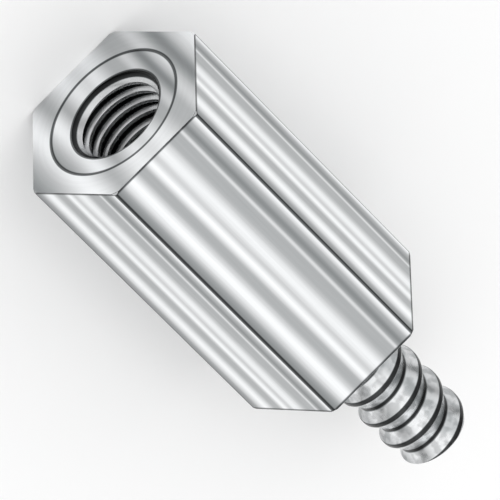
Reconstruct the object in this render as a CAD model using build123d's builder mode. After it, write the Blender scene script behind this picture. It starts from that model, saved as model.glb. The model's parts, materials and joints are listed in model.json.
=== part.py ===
from build123d import *
from build123d.topology import SkipClean
import os
from math import ceil, cos, radians, tan

os.makedirs("parts", exist_ok=True)

# A hex standoff turned from hexagon bar: a tapped hole in one end, a threaded stud on the other.
# It lies along X on one flat of its body, as it comes to rest on a bench. The tapped end faces
# +X and the stud points to -X. The origin is under the middle of the whole length, on the bench.

# Driving dimensions, in millimetres and degrees

# Hexagonal body
across_flats = 6.35
body_length = 12.7
long_edge_radius = 0.12
corner_chamfer = 0.1

# Tapped hole, with the thread as a plain bore of its outer diameter
tapped_diameter = 3.46
tapped_depth = 7
tap_drill_diameter = 2.92
tap_drill_depth = 8.5
drill_point_angle = 118
countersink_diameter = 4.9
countersink_angle = 160

# Threaded stud
stud_length = 6.1
stud_diameter = 2.84
tip_chamfer = 0.2
neck_length = 0.45
neck_undercut = 0.03

# Thread of the stud, right-handed. The flanks that face the tip slope more gently.
thread_pitch = 1.25
thread_depth = 0.3
crest_width = 0.16
root_width = 0.12
tip_flank_width = 0.57
groove_offset = 0.29
slices_per_turn = 18

# Sizes and places worked out from them

shoulder_x = (stud_length - body_length) / 2
mouth_x = shoulder_x + body_length
tip_x = shoulder_x - stud_length
axis_height = across_flats / 2
corner_radius = across_flats / 2 / cos(radians(30))
turned_radius = corner_radius - corner_chamfer
outside_radius = corner_radius + corner_chamfer

countersink_radius = countersink_diameter / 2
tapped_radius = tapped_diameter / 2
tap_drill_radius = tap_drill_diameter / 2
countersink_depth = (countersink_radius - tapped_radius) / tan(radians(countersink_angle / 2))
tap_lead_length = tapped_radius - tap_drill_radius
drill_point_depth = tap_drill_radius / tan(radians(drill_point_angle / 2))

crest_radius = stud_diameter / 2
root_radius = crest_radius - thread_depth
neck_radius = root_radius - neck_undercut
shoulder_flank_width = thread_pitch - crest_width - root_width - tip_flank_width
groove_near_side = root_width / 2 + tip_flank_width
groove_far_side = root_width / 2 + shoulder_flank_width
groove_height = 1.5 * thread_depth
groove_turns = ceil(stud_length / thread_pitch) + 2
slice_angle = 360 / slices_per_turn

part_axis = Axis((0, 0, axis_height), (1, 0, 0))

# Turned profiles are drawn here: X runs along the part, Y is the distance from its axis
profile_plane = Plane((0, 0, axis_height), x_dir=(1, 0, 0), z_dir=(0, -1, 0))

# Cross-sections of the body and the neck start here, and grow towards +X
shoulder_plane = Plane((shoulder_x, 0, axis_height), x_dir=(0, 1, 0), z_dir=(1, 0, 0))

# One turn of the thread groove. It starts under the stud, at this offset past the shoulder, and
# above the crest its sides run straight out, clear of the blank.
groove_path = Helix(
    thread_pitch,
    thread_pitch,
    root_radius,
    center=(shoulder_x + groove_offset, 0, axis_height),
    direction=(-1, 0, 0),
)
groove_plane = Plane(groove_path @ 0, x_dir=(-1, 0, 0), z_dir=groove_path % 0)

with BuildPart() as groove_turn:
    with BuildSketch(groove_plane):
        with BuildLine():
            Polyline(
                (-root_width / 2, 0),
                (root_width / 2, 0),
                (groove_far_side, thread_depth),
                (groove_far_side, groove_height),
                (-groove_near_side, groove_height),
                (-groove_near_side, thread_depth),
                close=True,
            )
        make_face()
    sweep(path=groove_path, is_frenet=True)

# One slice of the stud's blank, from the neck to the chamfered tip
with BuildPart() as blank_slice:
    with BuildSketch(profile_plane):
        with BuildLine():
            Polyline(
                (shoulder_x - neck_length, 0),
                (tip_x, 0),
                (tip_x, crest_radius - tip_chamfer),
                (tip_x + tip_chamfer, crest_radius),
                (shoulder_x - neck_length, crest_radius),
                close=True,
            )
        make_face()
    revolve(axis=part_axis, revolution_arc=slice_angle)

# The crest keeps the edges between the slices: each of its faces is then a short strip that a
# straight cylinder can be measured on, instead of a ribbon that winds along the whole stud.
with SkipClean():
    with BuildPart() as hex_standoff:
        for slice_number in range(slices_per_turn):
            add(blank_slice.part.rotate(part_axis, slice_number * slice_angle))

        # The groove is cut turn by turn, each turn starting where the last one ended
        for turn in range(groove_turns):
            next_turn = Location((-turn * thread_pitch, 0, 0))
            add(groove_turn.part.moved(next_turn), mode=Mode.SUBTRACT)

        # Neck between the shoulder and the first thread
        with BuildSketch(shoulder_plane):
            Circle(neck_radius)
        extrude(amount=-neck_length)

        # Hexagonal body, with one flat below and one above
        with BuildSketch(shoulder_plane) as hexagon:
            RegularPolygon(radius=across_flats / 2, side_count=6, major_radius=False)
            fillet(hexagon.vertices(), radius=long_edge_radius)
        extrude(amount=body_length)

        # Corners turned off at both ends of the body
        with BuildSketch(profile_plane):
            for end_x, inward in ((mouth_x, -1), (shoulder_x, 1)):
                with BuildLine():
                    Polyline(
                        (end_x, turned_radius),
                        (end_x, outside_radius),
                        (end_x + inward * (outside_radius - turned_radius), outside_radius),
                        close=True,
                    )
                make_face()
        revolve(axis=part_axis, mode=Mode.SUBTRACT)

        # Hole: shallow countersink, tapped bore, tap drill beyond it and the cone of its point
        with BuildSketch(profile_plane):
            with BuildLine():
                Polyline(
                    (mouth_x, 0),
                    (mouth_x, countersink_radius),
                    (mouth_x - countersink_depth, tapped_radius),
                    (mouth_x - tapped_depth, tapped_radius),
                    (mouth_x - tapped_depth - tap_lead_length, tap_drill_radius),
                    (mouth_x - tap_drill_depth, tap_drill_radius),
                    (mouth_x - tap_drill_depth - drill_point_depth, 0),
                    close=True,
                )
            make_face()
        revolve(axis=part_axis, mode=Mode.SUBTRACT)

hex_standoff.part.label = "hex_standoff"
export_step(hex_standoff.part, "parts/hex_standoff.step")
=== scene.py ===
# %% [markdown]
# # A hex standoff, dressed
#
# The part is a spacer turned from hexagon bar: a tapped hole in one end, a threaded stud on the
# other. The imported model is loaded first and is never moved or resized. Its box and its record
# give the sizes that the pieces below are made to.

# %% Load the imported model
import json
import math
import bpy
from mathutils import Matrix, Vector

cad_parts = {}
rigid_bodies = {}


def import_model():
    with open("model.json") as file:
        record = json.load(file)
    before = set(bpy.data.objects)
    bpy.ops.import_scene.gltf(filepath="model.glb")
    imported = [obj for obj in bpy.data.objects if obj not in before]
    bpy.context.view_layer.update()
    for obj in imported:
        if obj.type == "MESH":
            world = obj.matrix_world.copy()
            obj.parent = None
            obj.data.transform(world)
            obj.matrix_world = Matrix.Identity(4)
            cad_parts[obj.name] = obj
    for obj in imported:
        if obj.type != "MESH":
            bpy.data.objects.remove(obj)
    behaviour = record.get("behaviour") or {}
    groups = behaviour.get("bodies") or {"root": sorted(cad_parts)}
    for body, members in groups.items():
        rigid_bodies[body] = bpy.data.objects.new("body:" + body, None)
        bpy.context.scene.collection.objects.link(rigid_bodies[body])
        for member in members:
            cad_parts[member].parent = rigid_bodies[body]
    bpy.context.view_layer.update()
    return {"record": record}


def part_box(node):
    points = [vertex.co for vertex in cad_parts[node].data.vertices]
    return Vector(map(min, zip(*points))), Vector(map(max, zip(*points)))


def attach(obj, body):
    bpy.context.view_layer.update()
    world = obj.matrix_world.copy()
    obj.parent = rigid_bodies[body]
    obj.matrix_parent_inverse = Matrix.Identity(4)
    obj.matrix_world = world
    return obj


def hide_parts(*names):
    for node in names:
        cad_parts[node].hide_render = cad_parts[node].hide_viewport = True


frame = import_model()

from types import SimpleNamespace

import bmesh
import bpy
from mathutils import Matrix, Vector

# %% [markdown]
# ## Sizes
#
# Everything here is drawn in millimetres, with the part's axis on the X axis, because that is how
# a turner reads it. The finished mesh is lifted to its height and scaled to metres at the end.
# What the record states is read from it. The small sizes that it doesn't state are named here. A
# flat of a hexagon spans 60 degrees round the axis, so half a flat spans 30.

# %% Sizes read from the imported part, in millimetres
MILLIMETRE = 0.001
HALF_FLAT = math.radians(30)

low_corner, high_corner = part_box("hex_standoff")
mounts = {mount["name"]: mount for mount in frame["record"]["mounts"]}

tip_x = low_corner.x / MILLIMETRE
mouth_x = high_corner.x / MILLIMETRE
shoulder_x = mounts["shoulder"]["pos_m"][0] / MILLIMETRE
across_flats = (high_corner.z - low_corner.z) / MILLIMETRE
axis_height = (high_corner.z + low_corner.z) / 2 / MILLIMETRE
tapped_radius = mounts["tapped_hole"]["dims"]["r_mm"]
stud_radius = mounts["stud"]["dims"]["r_mm"]
corner_radius = across_flats / 2 / math.cos(HALF_FLAT)

print(f"body {mouth_x - shoulder_x:.2f} long, {across_flats:.2f} across flats")
print(f"stud {shoulder_x - tip_x:.2f} long, {2 * stud_radius:.2f} across")
print(f"hole's thread {2 * tapped_radius:.2f} across")

# %% Sizes of the edges, the hole and the two threads
long_edge_radius = 0.12
corner_chamfer = 0.1
edge_break = 0.03
neck_fillet = 0.05

countersink_radius = 2.45
countersink_angle = math.radians(160)
drill_radius = 1.46
drill_depth = 8.5
drill_point_angle = math.radians(118)
drill_point_radius = 0.02

hole_pitch = 0.5
hole_ridge_width = hole_pitch / 4
hole_groove_width = hole_pitch / 8
hole_flank = (hole_pitch - hole_ridge_width - hole_groove_width) / 2
hole_rounding = 0.015
full_thread_depth = 6.27

stud_pitch = 1.25
stud_thread_depth = 0.3
stud_root_radius = stud_radius - stud_thread_depth
stud_crest_width = 0.16
stud_root_width = 0.12
stud_tip_flank = 0.57
stud_rounding = 0.014
groove_offset = 0.29
neck_length = 0.45
neck_undercut = 0.03
neck_radius = stud_root_radius - neck_undercut
tip_chamfer = 0.2

# %% [markdown]
# ## Helpers
#
# Three habits run through the whole mesh: a loop of edges is drawn out to its next place along the
# axis, its points are set to a radius, and a plane across the axis cuts the mesh. Each gets a
# short function around a bmesh operator.
#
# A cone cuts the threads too, and no operator does that. But once every point is slid along the
# axis by its own radius, a 45 degree cone has become a plane. So the mesh is slid, cut with a
# plane and slid back, and the new edges lie on the cone.
#
# Each face also notes which of four finishes it gets.

# %% Helpers for turned shapes
ACROSS_AXIS = Matrix.Rotation(math.radians(90), 4, "Y")
SAME_PLACE = 1e-4
DRAWN, TURNED, STUD_THREAD, HOLE_THREAD = range(4)


def radius_of(vert):
    """Distance of a point from the part's axis."""
    return math.hypot(vert.co.y, vert.co.z)


def set_radius(vert, radius):
    """Moves a point straight out or in, to this distance from the axis."""
    ratio = radius / radius_of(vert)
    vert.co.y *= ratio
    vert.co.z *= ratio


def loop_at(bm, x):
    """Open edges that lie in the plane across the axis at x."""
    return [
        edge
        for edge in bm.edges
        if edge.is_boundary and all(abs(vert.co.x - x) < SAME_PLACE for vert in edge.verts)
    ]


def draw_out(bm, loop, x, radius=None, grow=0.0):
    """Extrudes a loop of edges to a new place, and to a radius or by a change of radius."""
    made = bmesh.ops.extrude_edge_only(bm, edges=loop)["geom"]
    verts = {item for item in made if isinstance(item, bmesh.types.BMVert)}
    for vert in verts:
        vert.co.x = x
        set_radius(vert, radius_of(vert) + grow if radius is None else radius)
    return [edge for edge in bm.edges if edge.verts[0] in verts and edge.verts[1] in verts]


def cut_across(bm, x, side=0):
    """Cuts the mesh across the axis at x. A side of 1 or -1 takes away what lies past the cut."""
    bmesh.ops.bisect_plane(
        bm,
        geom=bm.verts[:] + bm.edges[:] + bm.faces[:],
        dist=SAME_PLACE / 10,
        plane_co=(x, 0, 0),
        plane_no=(side or 1, 0, 0),
        clear_outer=bool(side),
    )


def cut_at_cone(bm, x, radius):
    """Adds edges where the mesh crosses a 45 degree cone, this wide at x and wider past it."""
    for vert in bm.verts:
        vert.co.x -= radius_of(vert)
    cut_across(bm, x - radius)
    for vert in bm.verts:
        vert.co.x += radius_of(vert)


def finish_as(faces, number):
    """Notes which of the part's finishes these faces get."""
    for face in faces:
        face.material_index = number


def fill_flat(bm, edges):
    """Fills a flat outline, or the ring between two, as a turned face."""
    filled = bmesh.ops.triangle_fill(bm, use_beauty=True, edges=edges)["geom"]
    finish_as([item for item in filled if isinstance(item, bmesh.types.BMFace)], TURNED)


# %% [markdown]
# ## The hexagonal body
#
# The real body is drawn hexagon bar, so its cross-section is the same all along and its long edges
# are slightly round. A circle with six segments is that hexagon. Bevelling its corners gives the
# rounding. Subdividing the sides puts points where the next step needs them. It needs most beside
# the corners, so the pieces there that reach into the corner's last few hundredths are cut again.

# %% Cross-section of the bar
CORNER_SEGMENTS = 8
CUTS_ON_A_SIDE = 29
CUTS_BESIDE_A_CORNER = 5
CORNER_REACH = 1.5 * edge_break
NEARLY = 0.9

body = bmesh.new()
bmesh.ops.create_circle(body, cap_ends=False, segments=6, radius=corner_radius, matrix=ACROSS_AXIS)
bmesh.ops.bevel(
    body,
    geom=body.verts[:],
    offset=long_edge_radius * math.tan(HALF_FLAT),
    affect="VERTICES",
    segments=CORNER_SEGMENTS,
    profile=0.5,
    material=-1,
)
sides = [edge for edge in body.edges if edge.calc_length() > across_flats / 2]
bmesh.ops.subdivide_edges(body, edges=sides, cuts=CUTS_ON_A_SIDE)
piece_length = max(edge.calc_length() for edge in body.edges)
side_ends = [
    edge
    for edge in body.edges
    if edge.calc_length() > piece_length * NEARLY
    and max(radius_of(vert) for vert in edge.verts) > corner_radius - CORNER_REACH
]
bmesh.ops.subdivide_edges(body, edges=side_ends, cuts=CUTS_BESIDE_A_CORNER)
bmesh.ops.translate(body, verts=body.verts, vec=(shoulder_x, 0, 0))
print("cross-section of", len(body.verts), "points,", len(side_ends), "side ends")

# %% [markdown]
# On the lathe, both ends of the bar have their corners turned off at 45 degrees, which leaves the
# curved corner seen on every hexagon nut. A boolean with a cone would do it, but its facets would
# not line up with the sides. Here the bar is drawn out through a row of stations instead. There is
# one station for each point that sticks out past the cone, so the edge between flat and cone runs
# from point to point, and the faces that it crosses are split along it.

# %% Draw the bar out and turn down its corners
EDGE_STEPS = 4
STATION_GAP = 0.004
STATION_DIGITS = 5

turned_radius = corner_radius - corner_chamfer
heights = {round(radius_of(vert) - turned_radius, STATION_DIGITS) for vert in body.verts}
stations = sorted(height for height in heights if height > edge_break + STATION_GAP)
print("stations at each end:", len(stations))


def end_rows():
    """Distance from the end face and change of radius, from the face to the last station."""
    for step in range(EDGE_STEPS):
        turn = math.radians(90) * step / EDGE_STEPS
        yield edge_break * (1 - math.cos(turn)), -edge_break * (1 - math.sin(turn))
    yield edge_break, 0.0
    for station in stations:
        yield station, 0.0


rows = [(shoulder_x + inward, inward, inset) for inward, inset in end_rows()]
rows += [(mouth_x - inward, inward, inset) for inward, inset in reversed(list(end_rows()))]

loop = body.edges[:]
outline = {}
for number, (x, inward, inset) in enumerate(rows):
    if number:
        loop = draw_out(body, loop, x)
    verts = {vert for edge in loop for vert in edge.verts}
    outline[number] = [(vert, radius_of(vert)) for vert in verts]

crease = []
for number, (x, inward, inset) in enumerate(rows):
    limit = turned_radius + max(inward, edge_break)
    for vert, bar_radius in outline[number]:
        if inset == 0 and abs(bar_radius - limit) < SAME_PLACE:
            crease.append(vert)
        set_radius(vert, min(bar_radius, limit) + inset)
bmesh.ops.connect_verts(body, verts=crease)

# %% Start both end faces, and tell drawn from turned
FACES_THE_END = 0.5

for x in (shoulder_x, mouth_x):
    draw_out(body, loop_at(body, x), x, grow=-edge_break)
body.normal_update()
finish_as(body.faces, DRAWN)
turned = [face for face in body.faces if abs(face.normal.x) > FACES_THE_END]
finish_as(turned, TURNED)
print("body:", len(body.faces), "faces, of which turned:", len(turned))

# %% [markdown]
# ## Threads
#
# A thread is one profile that turns about the axis and moves along it at the same time. The spin
# operator does both: its dvec is the step along the axis. One turn is spun from a profile one
# pitch long, and the turns are copies of it, so that their edges meet exactly.
#
# The profile is drawn from the middle of one crest to the middle of the next. Its four corners are
# bevelled, because a cut thread has slightly rounded edges. On the stud, the flanks that face the
# tip slope more gently than those that face the shoulder, as the part's outline shows. Both
# threads are made longer than they have to be, and then cut off where they end.


# %% Profile of a thread, and its turns
ROUNDING_SEGMENTS = 2


def thread(
    start_x, pitch, crest, root, crest_width, root_width, falling, rounding, cuts, turns, segments
):
    """A right-handed thread along +X, open at both ends, with the middle of a crest at start_x.

    Crest and root are radii, so the crest of a hole's thread is the smaller one. The falling
    flank runs from crest to root along +X. The other flank takes what the pitch leaves.
    """
    bm = bmesh.new()
    corners = (
        (0, crest),
        (crest_width / 2, crest),
        (crest_width / 2 + falling, root),
        (crest_width / 2 + falling + root_width, root),
        (pitch - crest_width / 2, crest),
        (pitch, crest),
    )
    verts = [bm.verts.new((start_x + along, radius, 0)) for along, radius in corners]
    for pair in zip(verts, verts[1:]):
        bm.edges.new(pair)
    bmesh.ops.bevel(
        bm,
        geom=verts[1:-1],
        offset=rounding,
        affect="VERTICES",
        segments=ROUNDING_SEGMENTS,
        profile=0.5,
        material=-1,
    )
    flanks = [edge for edge in bm.edges if edge.calc_length() > falling / 2]
    bmesh.ops.subdivide_edges(bm, edges=flanks, cuts=cuts)
    bmesh.ops.spin(
        bm,
        geom=bm.verts[:] + bm.edges[:],
        cent=(0, 0, 0),
        axis=(1, 0, 0),
        dvec=(pitch / segments, 0, 0),
        angle=math.radians(360),
        steps=segments,
        use_merge=False,
        use_duplicate=False,
    )
    one_turn = bm.faces[:]
    for turn in range(1, turns):
        copied = bmesh.ops.duplicate(bm, geom=one_turn)["geom"]
        verts = [item for item in copied if isinstance(item, bmesh.types.BMVert)]
        bmesh.ops.translate(bm, verts=verts, vec=(turn * pitch, 0, 0))
    bmesh.ops.remove_doubles(bm, verts=bm.verts, dist=SAME_PLACE)
    return bm


# %% [markdown]
# ## The stud
#
# The stud's thread is coarse, as the part shows it. It is cut square at the neck, where the tool
# stopped, and at the tip, where a 45 degree chamfer starts the nut. The chamfer is a limit on the
# radius that grows with the distance from the tip. Over the last few hundredths it falls off twice
# as fast, which breaks the edge of the tip's face.
#
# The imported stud's groove starts underneath, a quarter turn from where this profile is drawn. So
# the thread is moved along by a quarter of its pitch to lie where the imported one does.

# %% Stud, from the neck to the tip
SPARE_STUD_TURNS = 3
STUD_SEGMENTS = 160
STUD_FLANK_CUTS = 5

neck_end_x = shoulder_x - neck_length
turns = math.ceil((neck_end_x - tip_x) / stud_pitch) + SPARE_STUD_TURNS
groove_to_crest = (stud_root_width + stud_crest_width) / 2 + stud_tip_flank
groove_x = shoulder_x + groove_offset - turns * stud_pitch
quarter_turn = stud_pitch / 4
crest_x = groove_x + groove_to_crest + quarter_turn

stud = thread(
    crest_x,
    stud_pitch,
    stud_radius,
    stud_root_radius,
    stud_crest_width,
    stud_root_width,
    falling=stud_pitch - stud_crest_width - stud_root_width - stud_tip_flank,
    rounding=stud_rounding,
    cuts=STUD_FLANK_CUTS,
    turns=turns,
    segments=STUD_SEGMENTS,
)
cut_at_cone(stud, tip_x + tip_chamfer, stud_radius)
cut_across(stud, tip_x + edge_break)
cut_across(stud, neck_end_x, side=1)
cut_across(stud, tip_x, side=-1)
for vert in stud.verts:
    from_tip = vert.co.x - tip_x
    limit = stud_radius - tip_chamfer + from_tip
    if from_tip < edge_break - SAME_PLACE:
        limit -= edge_break - from_tip
    if radius_of(vert) > limit:
        set_radius(vert, limit)
finish_as(stud.faces, STUD_THREAD)
print("stud:", len(stud.faces), "faces")

# %% Close the tip and add the neck
tip_loop = draw_out(stud, loop_at(stud, tip_x), tip_x, grow=-edge_break)
fill_flat(stud, tip_loop)

loop = draw_out(stud, loop_at(stud, neck_end_x), neck_end_x, radius=neck_radius)
loop = draw_out(stud, loop, shoulder_x - neck_fillet, radius=neck_radius)
for step in range(1, EDGE_STEPS + 1):
    turn = math.radians(90) * step / EDGE_STEPS
    x = shoulder_x - neck_fillet * (1 - math.sin(turn))
    loop = draw_out(stud, loop, x, radius=neck_radius + neck_fillet * (1 - math.cos(turn)))
draw_out(stud, loop, shoulder_x, grow=edge_break)
finish_as([face for face in stud.faces if face.calc_center_median().x > neck_end_x], TURNED)
print("stud with tip and neck:", len(stud.faces), "faces")

# %% [markdown]
# ## The tapped hole
#
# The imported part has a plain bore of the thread's outer diameter. The real hole was drilled
# smaller and tapped, so here the thread's ridges stand in from that bore to the drilled radius. At
# the mouth a 45 degree cone cuts the first ridge, so that a screw finds its way in. At the inner
# end the thread fades where the tap's tapered lead stopped.

# %% Hole, from the countersink to the end of the thread
RUN_OUT_TURNS = 2
SPARE_HOLE_TURNS = 2
HOLE_SEGMENTS = 144
HOLE_FLANK_CUTS = 2

countersink_depth = (countersink_radius - tapped_radius) / math.tan(countersink_angle / 2)
thread_mouth_x = mouth_x - countersink_depth
run_out_x = mouth_x - full_thread_depth
thread_end_x = run_out_x - RUN_OUT_TURNS * hole_pitch
hole_turns = math.ceil((thread_mouth_x - thread_end_x) / hole_pitch) + SPARE_HOLE_TURNS

hole = thread(
    thread_end_x - hole_pitch,
    hole_pitch,
    drill_radius,
    tapped_radius,
    hole_ridge_width,
    hole_groove_width,
    falling=hole_flank,
    rounding=hole_rounding,
    cuts=HOLE_FLANK_CUTS,
    turns=hole_turns,
    segments=HOLE_SEGMENTS,
)
cut_at_cone(hole, thread_mouth_x, tapped_radius)
cut_across(hole, thread_mouth_x, side=1)
cut_across(hole, thread_end_x, side=-1)
for vert in hole.verts:
    full = min(max((vert.co.x - thread_end_x) / (run_out_x - thread_end_x), 0), 1)
    depth = (radius_of(vert) - drill_radius) * full
    cone = tapped_radius - (thread_mouth_x - vert.co.x)
    set_radius(vert, max(drill_radius + depth, cone))
finish_as(hole.faces, HOLE_THREAD)
print("hole:", len(hole.faces), "faces")

# %% Countersink, plain bore and drill point
thread_faces = set(hole.faces)
draw_out(hole, loop_at(hole, thread_mouth_x), mouth_x, radius=countersink_radius)

drill_end_x = mouth_x - drill_depth
point_depth = (drill_radius - drill_point_radius) / math.tan(drill_point_angle / 2)
loop = draw_out(hole, loop_at(hole, thread_end_x), drill_end_x, radius=drill_radius)
loop = draw_out(hole, loop, drill_end_x - point_depth, radius=drill_point_radius)
bmesh.ops.edgeloop_fill(hole, edges=loop)
finish_as([face for face in hole.faces if face not in thread_faces], TURNED)
print("hole with countersink and drill point:", len(hole.faces), "faces")

# %% [markdown]
# ## One closed piece
#
# The three meshes are joined, and the flat ring at each end of the body is filled between its two
# loops. Both rings are plane, so any triangles will do. The open edges are counted and the volume
# is printed: every edge should have two faces. The volume is a little over the imported part's,
# mostly because of the ridges in the hole.

# %% Join, close and check
standoff = bmesh.new()
for section in (body, stud, hole):
    carrier = bpy.data.meshes.new("section")
    section.to_mesh(carrier)
    section.free()
    standoff.from_mesh(carrier)
    bpy.data.meshes.remove(carrier)

for x in (shoulder_x, mouth_x):
    fill_flat(standoff, loop_at(standoff, x))

bmesh.ops.remove_doubles(standoff, verts=standoff.verts, dist=SAME_PLACE / 10)
bmesh.ops.recalc_face_normals(standoff, faces=standoff.faces)
open_edges = sum(len(edge.link_faces) != 2 for edge in standoff.edges)
print("open edges:", open_edges, "volume in mm3:", round(standoff.calc_volume(signed=True), 1))

# %% [markdown]
# Cut edges are sharp and the rest is smooth. An angle tells them apart, except at the rim of the
# countersink: its cone is so flat that the edge is only 10 degrees, yet it is a clean cut.

# %% Sharp edges, scale and place
SHARP_ANGLE = math.radians(32)


def on_rim(vert):
    """Whether a point lies on the outer rim of the countersink."""
    return (
        abs(vert.co.x - mouth_x) < SAME_PLACE
        and abs(radius_of(vert) - countersink_radius) < SAME_PLACE
    )


for face in standoff.faces:
    face.smooth = True
for edge in standoff.edges:
    rim = on_rim(edge.verts[0]) and on_rim(edge.verts[1])
    edge.smooth = edge.calc_face_angle(0) < SHARP_ANGLE and not rim
bmesh.ops.translate(standoff, verts=standoff.verts, vec=(0, 0, axis_height))
bmesh.ops.scale(standoff, verts=standoff.verts, vec=(MILLIMETRE,) * 3)

mesh = bpy.data.meshes.new("standoff")
standoff.to_mesh(mesh)
standoff.free()
piece = bpy.data.objects.new("standoff", mesh)
bpy.context.scene.collection.objects.link(piece)
mesh.calc_loop_triangles()
print("triangles:", len(mesh.loop_triangles))

# %% [markdown]
# ## Node helpers
#
# Every finish is worked out from where a point lies on the part, so the helpers below start from
# Object coordinates, turned into millimetres with the part's axis at the middle. The rest are
# short ways to add a node and feed its sockets.


# %% Short ways to add nodes
def add_node(tree, kind, label, **settings):
    """Adds a node with a plain label and its settings."""
    node = tree.nodes.new(kind)
    node.label = label
    for name, value in settings.items():
        setattr(node, name, value)
    return node


def feed(tree, socket, source):
    """Links a socket to an output, or gives it a fixed value."""
    if isinstance(source, bpy.types.NodeSocket):
        tree.links.new(source, socket)
    else:
        socket.default_value = source


def feed_all(tree, node, **sources):
    """Feeds the sockets of a node by name. An underscore stands for a space."""
    for name, source in sources.items():
        feed(tree, node.inputs[name.replace("_", " ")], source)


def calc(tree, operation, label, *sources):
    """One step of arithmetic."""
    node = add_node(tree, "ShaderNodeMath", label, operation=operation)
    for socket, source in zip(node.inputs, sources):
        feed(tree, socket, source)
    return node.outputs[0]


def product(tree, label, first, *others):
    """Two or more values, multiplied."""
    for other in others:
        first = calc(tree, "MULTIPLY", label, first, other)
    return first


def distance_to(tree, label, value, target):
    """How far a value is from a target, to either side."""
    return calc(tree, "ABSOLUTE", label, calc(tree, "SUBTRACT", "offset", value, target))


def spread(tree, label, value, low, high, to_low=0.0, to_high=1.0, kind="LINEAR"):
    """Maps one range of a value to another, and stops at its ends."""
    node = add_node(tree, "ShaderNodeMapRange", label, interpolation_type=kind)
    for socket, source in zip(node.inputs, (value, low, high, to_low, to_high)):
        feed(tree, socket, source)
    return node.outputs[0]


def noise(tree, label, vector, scale, detail=2.0, roughness=0.5):
    """A cloudy pattern between 0 and 1."""
    node = add_node(tree, "ShaderNodeTexNoise", label)
    feed_all(tree, node, Vector=vector, Scale=scale, Detail=detail, Roughness=roughness)
    return node.outputs["Fac"]


def stretched(tree, label, vector, scale):
    """The same coordinates, scaled along each axis."""
    node = add_node(tree, "ShaderNodeMapping", label)
    feed_all(tree, node, Vector=vector, Scale=scale)
    return node.outputs["Vector"]


def ramp(tree, label, value, stops):
    """Greys along a value, from (place, brightness) pairs."""
    node = add_node(tree, "ShaderNodeValToRGB", label)
    band = node.color_ramp
    while len(band.elements) < len(stops):
        band.elements.new(0.5)
    for element, (place, grey) in zip(band.elements, stops):
        element.position = place
        element.color = (grey, grey, grey, 1)
    feed(tree, node.inputs["Fac"], value)
    return node.outputs["Color"]


def blend(tree, label, kind, amount, first, second):
    """Mixes two colours."""
    node = add_node(tree, "ShaderNodeMix", label, data_type="RGBA", blend_type=kind)
    feed_all(tree, node, Factor=amount, A=first, B=second)
    return node.outputs["Result"]


# %% Where a point lies on the part
def place_on_part(tree):
    """Coordinates in millimetres from the axis, and the distance from it."""
    object_place = add_node(tree, "ShaderNodeTexCoord", "Object coordinates").outputs["Object"]
    centred = add_node(tree, "ShaderNodeMapping", "millimetres from the axis")
    to_axis = (0, 0, -axis_height)
    feed_all(tree, centred, Vector=object_place, Scale=(1 / MILLIMETRE,) * 3, Location=to_axis)
    place = centred.outputs["Vector"]
    split = add_node(tree, "ShaderNodeSeparateXYZ", "x, y and z")
    feed(tree, split.inputs[0], place)
    x, y, z = split.outputs
    squares = [product(tree, "squared", side, side) for side in (y, z)]
    radius = calc(tree, "SQRT", "radius", calc(tree, "ADD", "squares", *squares))
    return SimpleNamespace(place=place, x=x, y=y, z=z, radius=radius)


def around_axis(tree, at, outwards, along):
    """Coordinates whose lines run round the axis, so many to a millimetre outwards and along it."""
    rings = add_node(tree, "ShaderNodeCombineXYZ", "lines round the axis")
    feed(tree, rings.inputs["X"], product(tree, "outwards", at.radius, outwards))
    feed(tree, rings.inputs["Y"], product(tree, "along", at.x, along))
    return rings.outputs["Vector"]


# %% [markdown]
# ## Marks that every finish shares
#
# Metal looks made when it carries two kinds of marks: fine lines in the direction the tool or the
# die ran, and faint smudges from handling. All the finishes use both, so each is a node group. It
# takes coordinates that the material has already stretched its own way: along the bar for the
# drawn sides, around the axis for turned faces.


# %% Groups in general
def new_group(name, takes, gives):
    """An empty node group with its sockets."""
    group = bpy.data.node_groups.new(name, "ShaderNodeTree")
    for label, kind, value in takes:
        socket = group.interface.new_socket(label, in_out="INPUT", socket_type=kind)
        if value is not None:
            socket.default_value = value
    for label, kind in gives:
        group.interface.new_socket(label, in_out="OUTPUT", socket_type=kind)
    entry = add_node(group, "NodeGroupInput", "in")
    leave = add_node(group, "NodeGroupOutput", "out")
    return group, entry.outputs, leave.inputs


def use_group(tree, group, label, **sources):
    """Puts a node group in a material and feeds it by name."""
    node = add_node(tree, "ShaderNodeGroup", label, node_tree=group)
    feed_all(tree, node, **sources)
    return node.outputs


# %% Group: tool lines
HAIR_LINE_SHARE = 0.45
LINE_AVERAGE = (1 + HAIR_LINE_SHARE) / 2

tool_lines, taken, given = new_group(
    "tool_lines",
    (("Place", "NodeSocketVector", None), ("Strength", "NodeSocketFloat", 0.1)),
    (("Shade", "NodeSocketFloat"), ("Height", "NodeSocketFloat")),
)
coarse = noise(tool_lines, "wide lines", taken["Place"], scale=1.0, detail=3.0, roughness=0.6)
fine = noise(tool_lines, "hair lines", taken["Place"], scale=5.0, detail=2.0, roughness=0.7)
both = calc(tool_lines, "MULTIPLY_ADD", "both kinds", fine, HAIR_LINE_SHARE, coarse)
balanced = calc(tool_lines, "SUBTRACT", "around zero", both, LINE_AVERAGE)
swing = product(tool_lines, "strength", balanced, taken["Strength"])
feed(tool_lines, given["Shade"], calc(tool_lines, "ADD", "around one", swing, 1.0))
feed(tool_lines, given["Height"], both)

# %% Group: smudges
SMUDGE_FADE = (0.42, 0.68)

smudges, taken, given = new_group(
    "smudges",
    (("Place", "NodeSocketVector", None), ("Per Millimetre", "NodeSocketFloat", 1.0)),
    (("Mask", "NodeSocketFloat"),),
)
spots = noise(
    smudges, "spots", taken["Place"], taken["Per Millimetre"], detail=4.0, roughness=0.62
)
mask = spread(smudges, "soft edges", spots, *SMUDGE_FADE, kind="SMOOTHSTEP")
feed(smudges, given["Mask"], mask)


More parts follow.
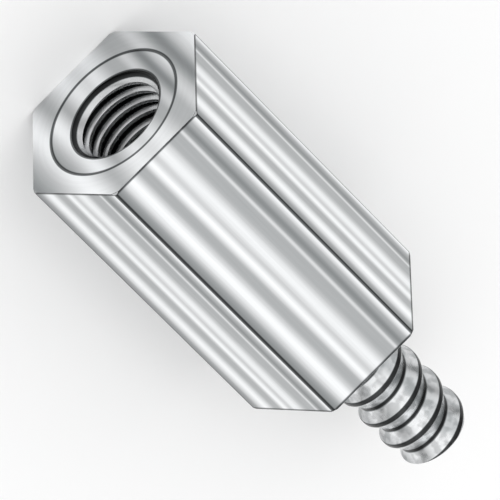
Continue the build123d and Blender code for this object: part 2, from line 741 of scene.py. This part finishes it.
# %% Both kinds of marks
def marks(tree, at, line_place, strength, smudges_per_mm):
    """Line shade, line height and smudge mask in a material."""
    lines = use_group(tree, tool_lines, "tool lines", Place=line_place, Strength=strength)
    spots = use_group(tree, smudges, "smudges", Place=at.place, Per_Millimetre=smudges_per_mm)
    return lines["Shade"], lines["Height"], spots["Mask"]


# %% [markdown]
# An edge that is only a few hundredths of a millimetre round mirrors a whole sweep of the room, the
# dark parts too, and so the eye sees it as a fine dark line. The mesh has these edges, but at the
# size of the frame they are thinner than a pixel. This group paints that dark reflection into the
# colour, as a line from the distance to the edge.

# %% Group: painted dark edge lines
LINE_CORE = 0.6
LINE_DARKEST = 0.16

painted_edge_line, taken, given = new_group(
    "painted_edge_line",
    (("Distance", "NodeSocketFloat", None), ("Width", "NodeSocketFloat", 0.1)),
    (("Shade", "NodeSocketFloat"),),
)
core = product(painted_edge_line, "dark core", taken["Width"], LINE_CORE)
line = spread(painted_edge_line, "fade out", taken["Distance"], core, taken["Width"], LINE_DARKEST, 1.0)
feed(painted_edge_line, given["Shade"], line)


def line_at(tree, label, value, target, width):
    """Painted dark edge line where a value is near a target."""
    distance = distance_to(tree, "distance", value, target)
    return use_group(tree, painted_edge_line, label, Distance=distance, Width=width)["Shade"]


# %% [markdown]
# The reflections of polished metal are painted into its colour as soft streaks, light or dark, on
# an even grey. Each streak is a node group of one kind: it has a middle and a half width along some
# value, and fades into what lies under it.

# %% Group: one streak
streak, taken, given = new_group(
    "streak",
    (
        ("Place", "NodeSocketFloat", None),
        ("Middle", "NodeSocketFloat", 0.5),
        ("Half Width", "NodeSocketFloat", 0.1),
        ("Ground", "NodeSocketFloat", 0.5),
        ("Grey", "NodeSocketFloat", 1.0),
    ),
    (("Shade", "NodeSocketFloat"),),
)
off_middle = distance_to(streak, "off its middle", taken["Place"], taken["Middle"])
share = spread(streak, "soft sides", off_middle, taken["Half Width"], 0.0, kind="SMOOTHSTEP")
shade = spread(streak, "on its ground", share, 0.0, 1.0, taken["Ground"], taken["Grey"])
feed(streak, given["Shade"], shade)


def streaked(tree, place, ground, painted_streaks):
    """An even grey with soft painted reflection streaks on it: their middles, half widths and
    greys.
    """
    for middle, half_width, grey in painted_streaks:
        shades = use_group(
            tree, streak, "streak",
            Place=place, Middle=middle, Half_Width=half_width, Ground=ground, Grey=grey,
        )
        ground = shades["Shade"]
    return ground


# %% [markdown]
# ## Bright metal
#
# Each finish ends in one Principled shader that is fully metallic. What differs is the pattern of
# the colour, how rough it is and how deep its lines are. The metal itself is a cool grey, a little
# bluer where it is dark, so the patterns are worked out as greys first and tinted last.

# %% Metal with a pattern
DARK_TINT = (0.935, 0.982, 1.0, 1)
LIGHT_TINT = (0.972, 0.988, 1.0, 1)
DARK_TO_LIGHT = (0.25, 0.6)


def metal(name, pattern):
    """A metallic material. The pattern gives its greys, roughness, line height and line depth."""
    material = bpy.data.materials.new(name)
    material.use_nodes = True
    tree = material.node_tree
    shader = tree.nodes["Principled BSDF"]
    shader.inputs["Metallic"].default_value = 1.0
    greys, rough, height, depth = pattern(tree)
    lightness = spread(tree, "how light", greys, *DARK_TO_LIGHT)
    tint = blend(tree, "tint for it", "MIX", lightness, DARK_TINT, LIGHT_TINT)
    feed(tree, shader.inputs["Base Color"], blend(tree, "tinted", "MULTIPLY", 1.0, greys, tint))
    feed(tree, shader.inputs["Roughness"], rough)
    bump = add_node(tree, "ShaderNodeBump", "line relief")
    feed_all(tree, bump, Strength=1.0, Distance=depth * MILLIMETRE, Height=height)
    feed(tree, shader.inputs["Normal"], bump.outputs["Normal"])
    mesh.materials.append(material)
    print("finish:", name, "with", len(tree.nodes), "nodes")


# %% [markdown]
# ## Drawn flats
#
# The bar is pulled through a die. The light and dark streaks that run its whole length are painted
# reflections in the colour, the same on all six flats. The angle round the axis says where a point
# is across its flat, from 0 at one long edge to 1 at the next. Every edge gets its painted fine
# dark line.
#
# The numbers of the streaks here, on the turned faces and on the stud weren't picked by hand. A
# separate script fitted them to greys that follow the photo along a few lines.

# %% Streaks across one flat
FLAT_GREY = 0.46
# Painted reflection streaks across a flat: middle, half width and grey.
FLAT_REFLECTION_STREAKS = (
    (0.01, 0.11, 0.27),
    (0.18, 0.12, 1.0),
    (0.42, 0.08, 1.0),
    (0.565, 0.13, 0.94),
    (0.80, 0.03, 0.75),
    (0.86, 0.06, 0.28),
    (0.975, 0.065, 0.95),
)
STREAK_WAVER = 0.02
WAVER_STRETCH = (0.10, 0.8, 0.8)
FLAT_LINE_STRETCH = (0.15, 12.0, 12.0)
FLAT_LINE_DEPTH = 0.0008
FLAT_ROUGHNESS = (0.30, 0.36)
LONG_EDGE_LINE = 0.026
END_EDGE_LINE = 0.13


def drawn_pattern(tree):
    """Painted reflection streaks along the bar, the same on each flat, and painted dark edge lines.
    """
    at = place_on_part(tree)
    angle = calc(tree, "ARCTAN2", "angle round the axis", at.z, at.y)
    from_middle = calc(tree, "SUBTRACT", "from the middle of a flat", angle, HALF_FLAT)
    on_flat = calc(tree, "WRAP", "same on each flat", from_middle, HALF_FLAT, -HALF_FLAT)
    sideways = calc(tree, "TANGENT", "sideways", on_flat)
    across = calc(tree, "MULTIPLY_ADD", "across the flat", sideways, math.cos(HALF_FLAT), 0.5)
    slow_place = stretched(tree, "slow along the bar", at.place, WAVER_STRETCH)
    waver = noise(tree, "waver", slow_place, scale=1.0)
    wavered = calc(tree, "MULTIPLY_ADD", "wavering streaks", waver, STREAK_WAVER, across)
    settled = calc(tree, "SUBTRACT", "centred again", wavered, STREAK_WAVER / 2)
    painted_streaks = streaked(tree, settled, FLAT_GREY, FLAT_REFLECTION_STREAKS)
    line_place = stretched(tree, "lines along the bar", at.place, FLAT_LINE_STRETCH)
    shade, height, smudge = marks(tree, at, line_place, strength=0.22, smudges_per_mm=0.55)
    off_middle = distance_to(tree, "off the middle", across, 0.5)
    edges = (
        line_at(tree, "long edges", off_middle, 0.5, LONG_EDGE_LINE),
        line_at(tree, "end face's edge", at.x, mouth_x, END_EDGE_LINE),
        line_at(tree, "shoulder's edge", at.x, shoulder_x, END_EDGE_LINE),
    )
    greys = product(tree, "streaks and lines", painted_streaks, shade, *edges)
    rough = spread(tree, "dull where smudged", smudge, 0.0, 1.0, *FLAT_ROUGHNESS)
    return greys, rough, height, FLAT_LINE_DEPTH


metal("drawn_flats", drawn_pattern)

# %% [markdown]
# ## Turned faces
#
# The end faces, the countersink and the tip were cut on the lathe. Their fine lines are rings, so
# the line group gets the distance from the axis as its coordinate. Broad soft bands, painted
# reflections of the room, are painted across a turned face. The countersink tilts, so its painted
# bands sit closer together. The rim and the hole's edge get painted dark lines.

# %% Painted reflection bands across a turned face, from +Y to -Y
FACE_GREY = 0.48
FACE_REFLECTION_BANDS = (
    (0.015, 0.08, 0.30),
    (0.19, 0.12, 0.98),
    (0.43, 0.13, 0.92),
    (0.565, 0.13, 0.90),
    (0.79, 0.055, 0.68),
    (0.87, 0.05, 0.28),
    (0.985, 0.10, 0.89),
)
COUNTERSINK_SQUEEZE = 0.4
RINGS_PER_MM = 9.0
RING_DEPTH = 0.001
FACE_ROUGHNESS = (0.30, 0.37)
RIM_LINE = 0.07
HOLE_LINE = 0.07


def turned_pattern(tree):
    """Painted reflection bands across the face, painted dark lines at the rim and the hole's edge,
    and rings round the axis.
    """
    at = place_on_part(tree)
    inside_rim = calc(tree, "LESS_THAN", "inside the rim", at.radius, countersink_radius)
    at_mouth = calc(tree, "GREATER_THAN", "on the tapped half", at.x, 0.0)
    sunk = product(tree, "in the countersink", inside_rim, at_mouth)
    squeeze = calc(tree, "MULTIPLY_ADD", "closer bands", sunk, COUNTERSINK_SQUEEZE, 1.0)
    sideways = product(tree, "sideways", at.y, squeeze)
    across = calc(tree, "MULTIPLY_ADD", "across", sideways, -0.5 / corner_radius, 0.5)
    reflection_bands = streaked(tree, across, FACE_GREY, FACE_REFLECTION_BANDS)
    rings = around_axis(tree, at, outwards=RINGS_PER_MM, along=RINGS_PER_MM)
    shade, height, smudge = marks(tree, at, rings, strength=0.14, smudges_per_mm=0.8)
    rim = line_at(tree, "rim", at.radius, countersink_radius, RIM_LINE)
    hole_edge = line_at(tree, "hole's edge", at.radius, tapped_radius, HOLE_LINE)
    both_lines = product(tree, "both lines", rim, hole_edge)
    lines = spread(tree, "only at the mouth", at_mouth, 0.0, 1.0, 1.0, both_lines)
    greys = product(tree, "bands and lines", reflection_bands, shade, lines)
    rough = spread(tree, "dull where smudged", smudge, 0.0, 1.0, *FACE_ROUGHNESS)
    return greys, rough, height, RING_DEPTH


metal("turned_faces", turned_pattern)

# %% [markdown]
# ## Thread finishes
#
# A thread's greys are set by how deep a point lies in its groove. The groove is painted nearly
# black as painted shade, and the stud's crest carries a painted fine dark line, like the edges of
# the body. Its flanks are torn a little, in light and grey patches. The distance from the axis says
# how deep in the groove a point is, for the stud outwards and for the hole inwards. The stud also
# carries painted reflection streaks across it.

# %% Thread greys with painted groove shade and crest line, and the stud's painted reflection streaks
STUD_GREYS_AND_SHADE = (
    (0.0, 0.06),
    (0.03, 0.07),
    (0.09, 0.95),
    (0.90, 0.92),
    (0.96, 0.30),
    (1.0, 0.04),
)
HOLE_GREYS_AND_SHADE = (
    (0.0, 0.68),
    (0.48, 0.66),
    (0.58, 0.05),
    (1.0, 0.015),
)
STUD_GREY = 0.58
STUD_REFLECTION_STREAKS = (
    (0.055, 0.03, 0.55),
    (0.165, 0.12, 0.97),
    (0.43, 0.27, 1.0),
    (0.70, 0.13, 0.47),
    (0.93, 0.10, 0.73),
)
PATCH_FADE = (0.40, 0.60)
LINES_OUTWARDS = 14.0
LINES_ALONG = 7.0
THREAD_LINE_DEPTH = 0.0012
THREAD_ROUGHNESS = (0.26, 0.36)


def thread_pattern(crest, root, greys_and_shade_by_depth, ground, painted_streaks, patch_size, patch_dark):
    """Crest, flanks and painted shade in the groove, for a thread between these two radii."""

    def pattern(tree):
        at = place_on_part(tree)
        depth = spread(tree, "depth in the groove", at.radius, crest, root)
        # Greys by depth: a painted dark line on the stud's crest and painted shade in both grooves.
        by_depth = ramp(tree, "crest to groove", depth, greys_and_shade_by_depth)
        across = calc(tree, "MULTIPLY_ADD", "across the thread", at.y, -0.5 / crest, 0.5)
        along = streaked(tree, across, ground, painted_streaks)
        torn = noise(tree, "torn metal", at.place, 1 / patch_size, detail=1.5)
        patch = spread(tree, "patches", torn, *PATCH_FADE, patch_dark, 1.0, kind="SMOOTHSTEP")
        line_place = around_axis(tree, at, LINES_OUTWARDS, LINES_ALONG)
        shade, height, smudge = marks(tree, at, line_place, strength=0.2, smudges_per_mm=1.2)
        greys = product(tree, "depth, streaks and patches", by_depth, along, patch, shade)
        rough = spread(tree, "dull where smudged", smudge, 0.0, 1.0, *THREAD_ROUGHNESS)
        return greys, rough, height, THREAD_LINE_DEPTH

    return pattern


stud_pattern = thread_pattern(
    stud_radius,
    stud_root_radius,
    STUD_GREYS_AND_SHADE,
    STUD_GREY,
    STUD_REFLECTION_STREAKS,
    patch_size=0.35,
    patch_dark=0.68,
)
hole_pattern = thread_pattern(
    drill_radius,
    tapped_radius,
    HOLE_GREYS_AND_SHADE,
    ground=1.0,
    painted_streaks=(),
    patch_size=0.8,
    patch_dark=0.9,
)
metal("stud_thread", stud_pattern)
metal("hole_thread", hole_pattern)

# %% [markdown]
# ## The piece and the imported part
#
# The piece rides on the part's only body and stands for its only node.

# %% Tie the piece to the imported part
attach(piece, "root")
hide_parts("hex_standoff")
print("piece:", piece.name, "finishes:", [material.name for material in mesh.materials])

# %% [markdown]
# ## Floor and light
#
# The part lies on white paper. Metal shows what stands round it, so the room matters as much as
# the lamps. Overhead it is white. A darker band near the horizon, like the far side of a studio,
# gives the round edges and the threads something to draw themselves with. Only shiny surfaces see
# that band: the camera and the floor get a plain white room.

# %% Floor
FLOOR_SIZE = 3.0
FLOOR_WHITE = 0.95
FLOOR_ROUGHNESS = 0.9

sheet = bmesh.new()
bmesh.ops.create_grid(sheet, x_segments=1, y_segments=1, size=FLOOR_SIZE / 2)
floor_mesh = bpy.data.meshes.new("floor")
sheet.to_mesh(floor_mesh)
sheet.free()
floor = bpy.data.objects.new("floor", floor_mesh)
bpy.context.scene.collection.objects.link(floor)
paper = bpy.data.materials.new("white_paper")
paper.use_nodes = True
paper_shader = paper.node_tree.nodes["Principled BSDF"]
paper_shader.inputs["Base Color"].default_value = (FLOOR_WHITE,) * 3 + (1,)
paper_shader.inputs["Roughness"].default_value = FLOOR_ROUGHNESS
paper_shader.inputs["Specular IOR Level"].default_value = 0.0
floor_mesh.materials.append(paper)

# %% Room
ROOM_STRENGTH = 0.92
HORIZON_BAND = ((0.0, 0.40), (0.25, 0.40), (0.42, 1.0), (1.0, 1.0))

world = bpy.data.worlds.new("studio")
bpy.context.scene.world = world
world.use_nodes = True
tree = world.node_tree
plain = tree.nodes["Background"]
plain.inputs["Color"].default_value = (1, 1, 1, 1)
direction = add_node(tree, "ShaderNodeTexCoord", "direction").outputs["Generated"]
split = add_node(tree, "ShaderNodeSeparateXYZ", "how high")
feed(tree, split.inputs[0], direction)
shown = add_node(tree, "ShaderNodeBackground", "room that metal shows")
feed(tree, shown.inputs["Color"], ramp(tree, "horizon band", split.outputs["Z"], HORIZON_BAND))
rays = add_node(tree, "ShaderNodeLightPath", "kind of ray").outputs
seen = spread(
    tree, "white to the camera", rays["Is Camera Ray"], 0.0, 1.0, ROOM_STRENGTH, to_high=1.0
)
feed(tree, plain.inputs["Strength"], seen)
pick = add_node(tree, "ShaderNodeMixShader", "metal or not")
feed(tree, pick.inputs[0], rays["Is Glossy Ray"])
feed(tree, pick.inputs[1], plain.outputs[0])
feed(tree, pick.inputs[2], shown.outputs[0])
feed(tree, tree.nodes["World Output"].inputs["Surface"], pick.outputs[0])

# %% [markdown]
# Two lamps add the light's direction. Both are far larger than the part, so the shadow is soft and
# the metal shows them as a gentle rise in brightness, not as spots.

# %% Lamps
LAMP_SIZE = 1.8


def lamp(name, place, power):
    """A square soft light that faces the part."""
    light = bpy.data.lights.new(name, "AREA")
    light.size = LAMP_SIZE
    light.energy = power
    holder = bpy.data.objects.new(name, light)
    holder.location = place
    holder.rotation_euler = (-Vector(place)).to_track_quat("-Z", "Y").to_euler()
    bpy.context.scene.collection.objects.link(holder)
    print("lamp:", name, "of", power, "W at", place)


lamp("key_light", place=(0.45, -0.9, 1.1), power=4.6)
lamp("fill_light", place=(-0.3, 1.0, 0.9), power=2.0)

# %% [markdown]
# ## Camera
#
# The camera was fitted to the part's corners: it looks down at 52 degrees in the plane of the axis
# and is rolled so that the part runs from corner to corner of the frame. The long lens keeps the
# flats nearly parallel.

# %% Camera
LENS = 720
SENSOR_WIDTH = 36
AIM = Vector((1.489, 0.033, 3.175)) * MILLIMETRE
DISTANCE = 327.3 * MILLIMETRE
ELEVATION = math.radians(52.39)
ROLL = math.radians(134.99)

camera_data = bpy.data.cameras.new("camera")
camera_data.lens = LENS
camera_data.sensor_width = SENSOR_WIDTH
camera_data.clip_start = 0.01
camera_data.clip_end = 10
camera = bpy.data.objects.new("camera", camera_data)
bpy.context.scene.collection.objects.link(camera)
bpy.context.scene.camera = camera
back = Vector((math.cos(ELEVATION), 0, math.sin(ELEVATION)))
camera.location = AIM + back * DISTANCE
level = (-back).to_track_quat("-Z", "Y")
camera.rotation_mode = "QUATERNION"
camera.rotation_quaternion = level @ Matrix.Rotation(ROLL, 3, "Z").to_quaternion()

bpy.context.scene.view_settings.view_transform = "Standard"
